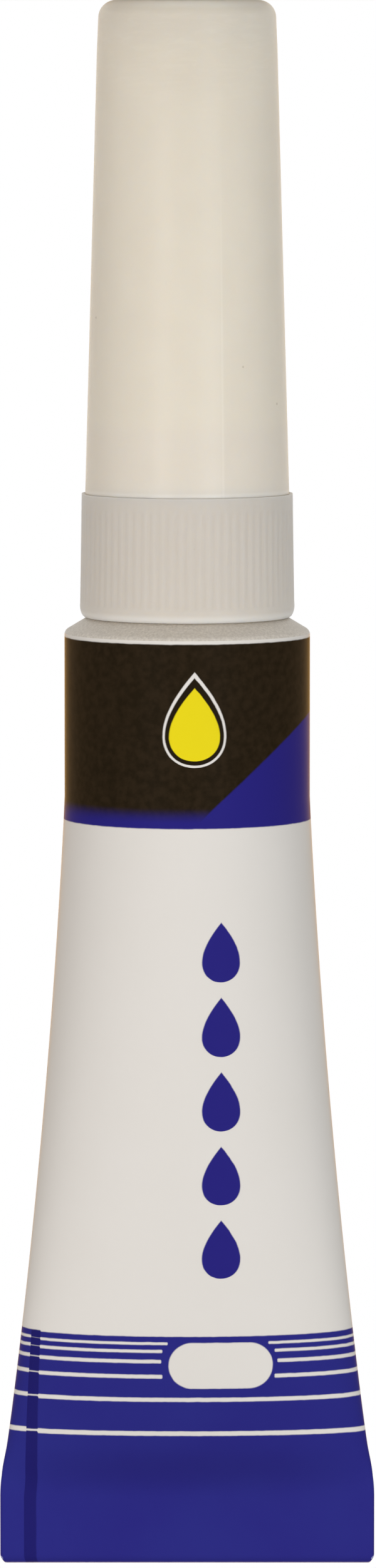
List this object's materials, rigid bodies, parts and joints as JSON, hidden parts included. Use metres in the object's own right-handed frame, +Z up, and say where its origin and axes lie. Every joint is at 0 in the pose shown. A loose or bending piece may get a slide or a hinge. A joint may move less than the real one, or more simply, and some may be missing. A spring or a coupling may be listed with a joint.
{
  "type": "super glue tube",
  "caption": "Collapsible aluminium glue tube with a folded flat tail, a ribbed screw-on nozzle and a long tapered push-on cap that seals the spout.",
  "frame": {"origin": "middle of the cap's flat end, on the tube's axis: the part stands on its cap", "axes": "+Z runs up the tube's axis from the cap's end to the tail, -Y is the printed front, and X lies along the flat tail"},
  "size_m": [0.0196, 0.0126, 0.0814],
  "materials": {
    "enamelled_aluminium": "soft aluminium with printed semi-gloss enamel, bare and satin on the shoulder",
    "latex_sealant": "dull dried latex",
    "clear_glue": "clear liquid, held here as a solid",
    "natural_polyethylene": "milky moulded polyethylene, satin",
    "cream_polyethylene": "cream moulded polyethylene, satin"
  },
  "bodies": {
    "tube": {"tube": "enamelled_aluminium", "tail_sealant": "latex_sealant", "glue": "clear_glue"},
    "nozzle": {"nozzle": "natural_polyethylene"},
    "cap": {"cap": "cream_polyethylene"}
  },
  "joints": [
    {"name": "cap_pull", "type": "slide", "parent": "cap", "child": "nozzle", "axis": [0, 0, 1], "range_m": [0, 0.03]},
    {"name": "nozzle_turn", "type": "hinge", "parent": "nozzle", "child": "tube", "pos_m": [0, 0, 0.02941], "axis": [0, 0, 1], "range_deg": [0, 1170]}
  ]
}
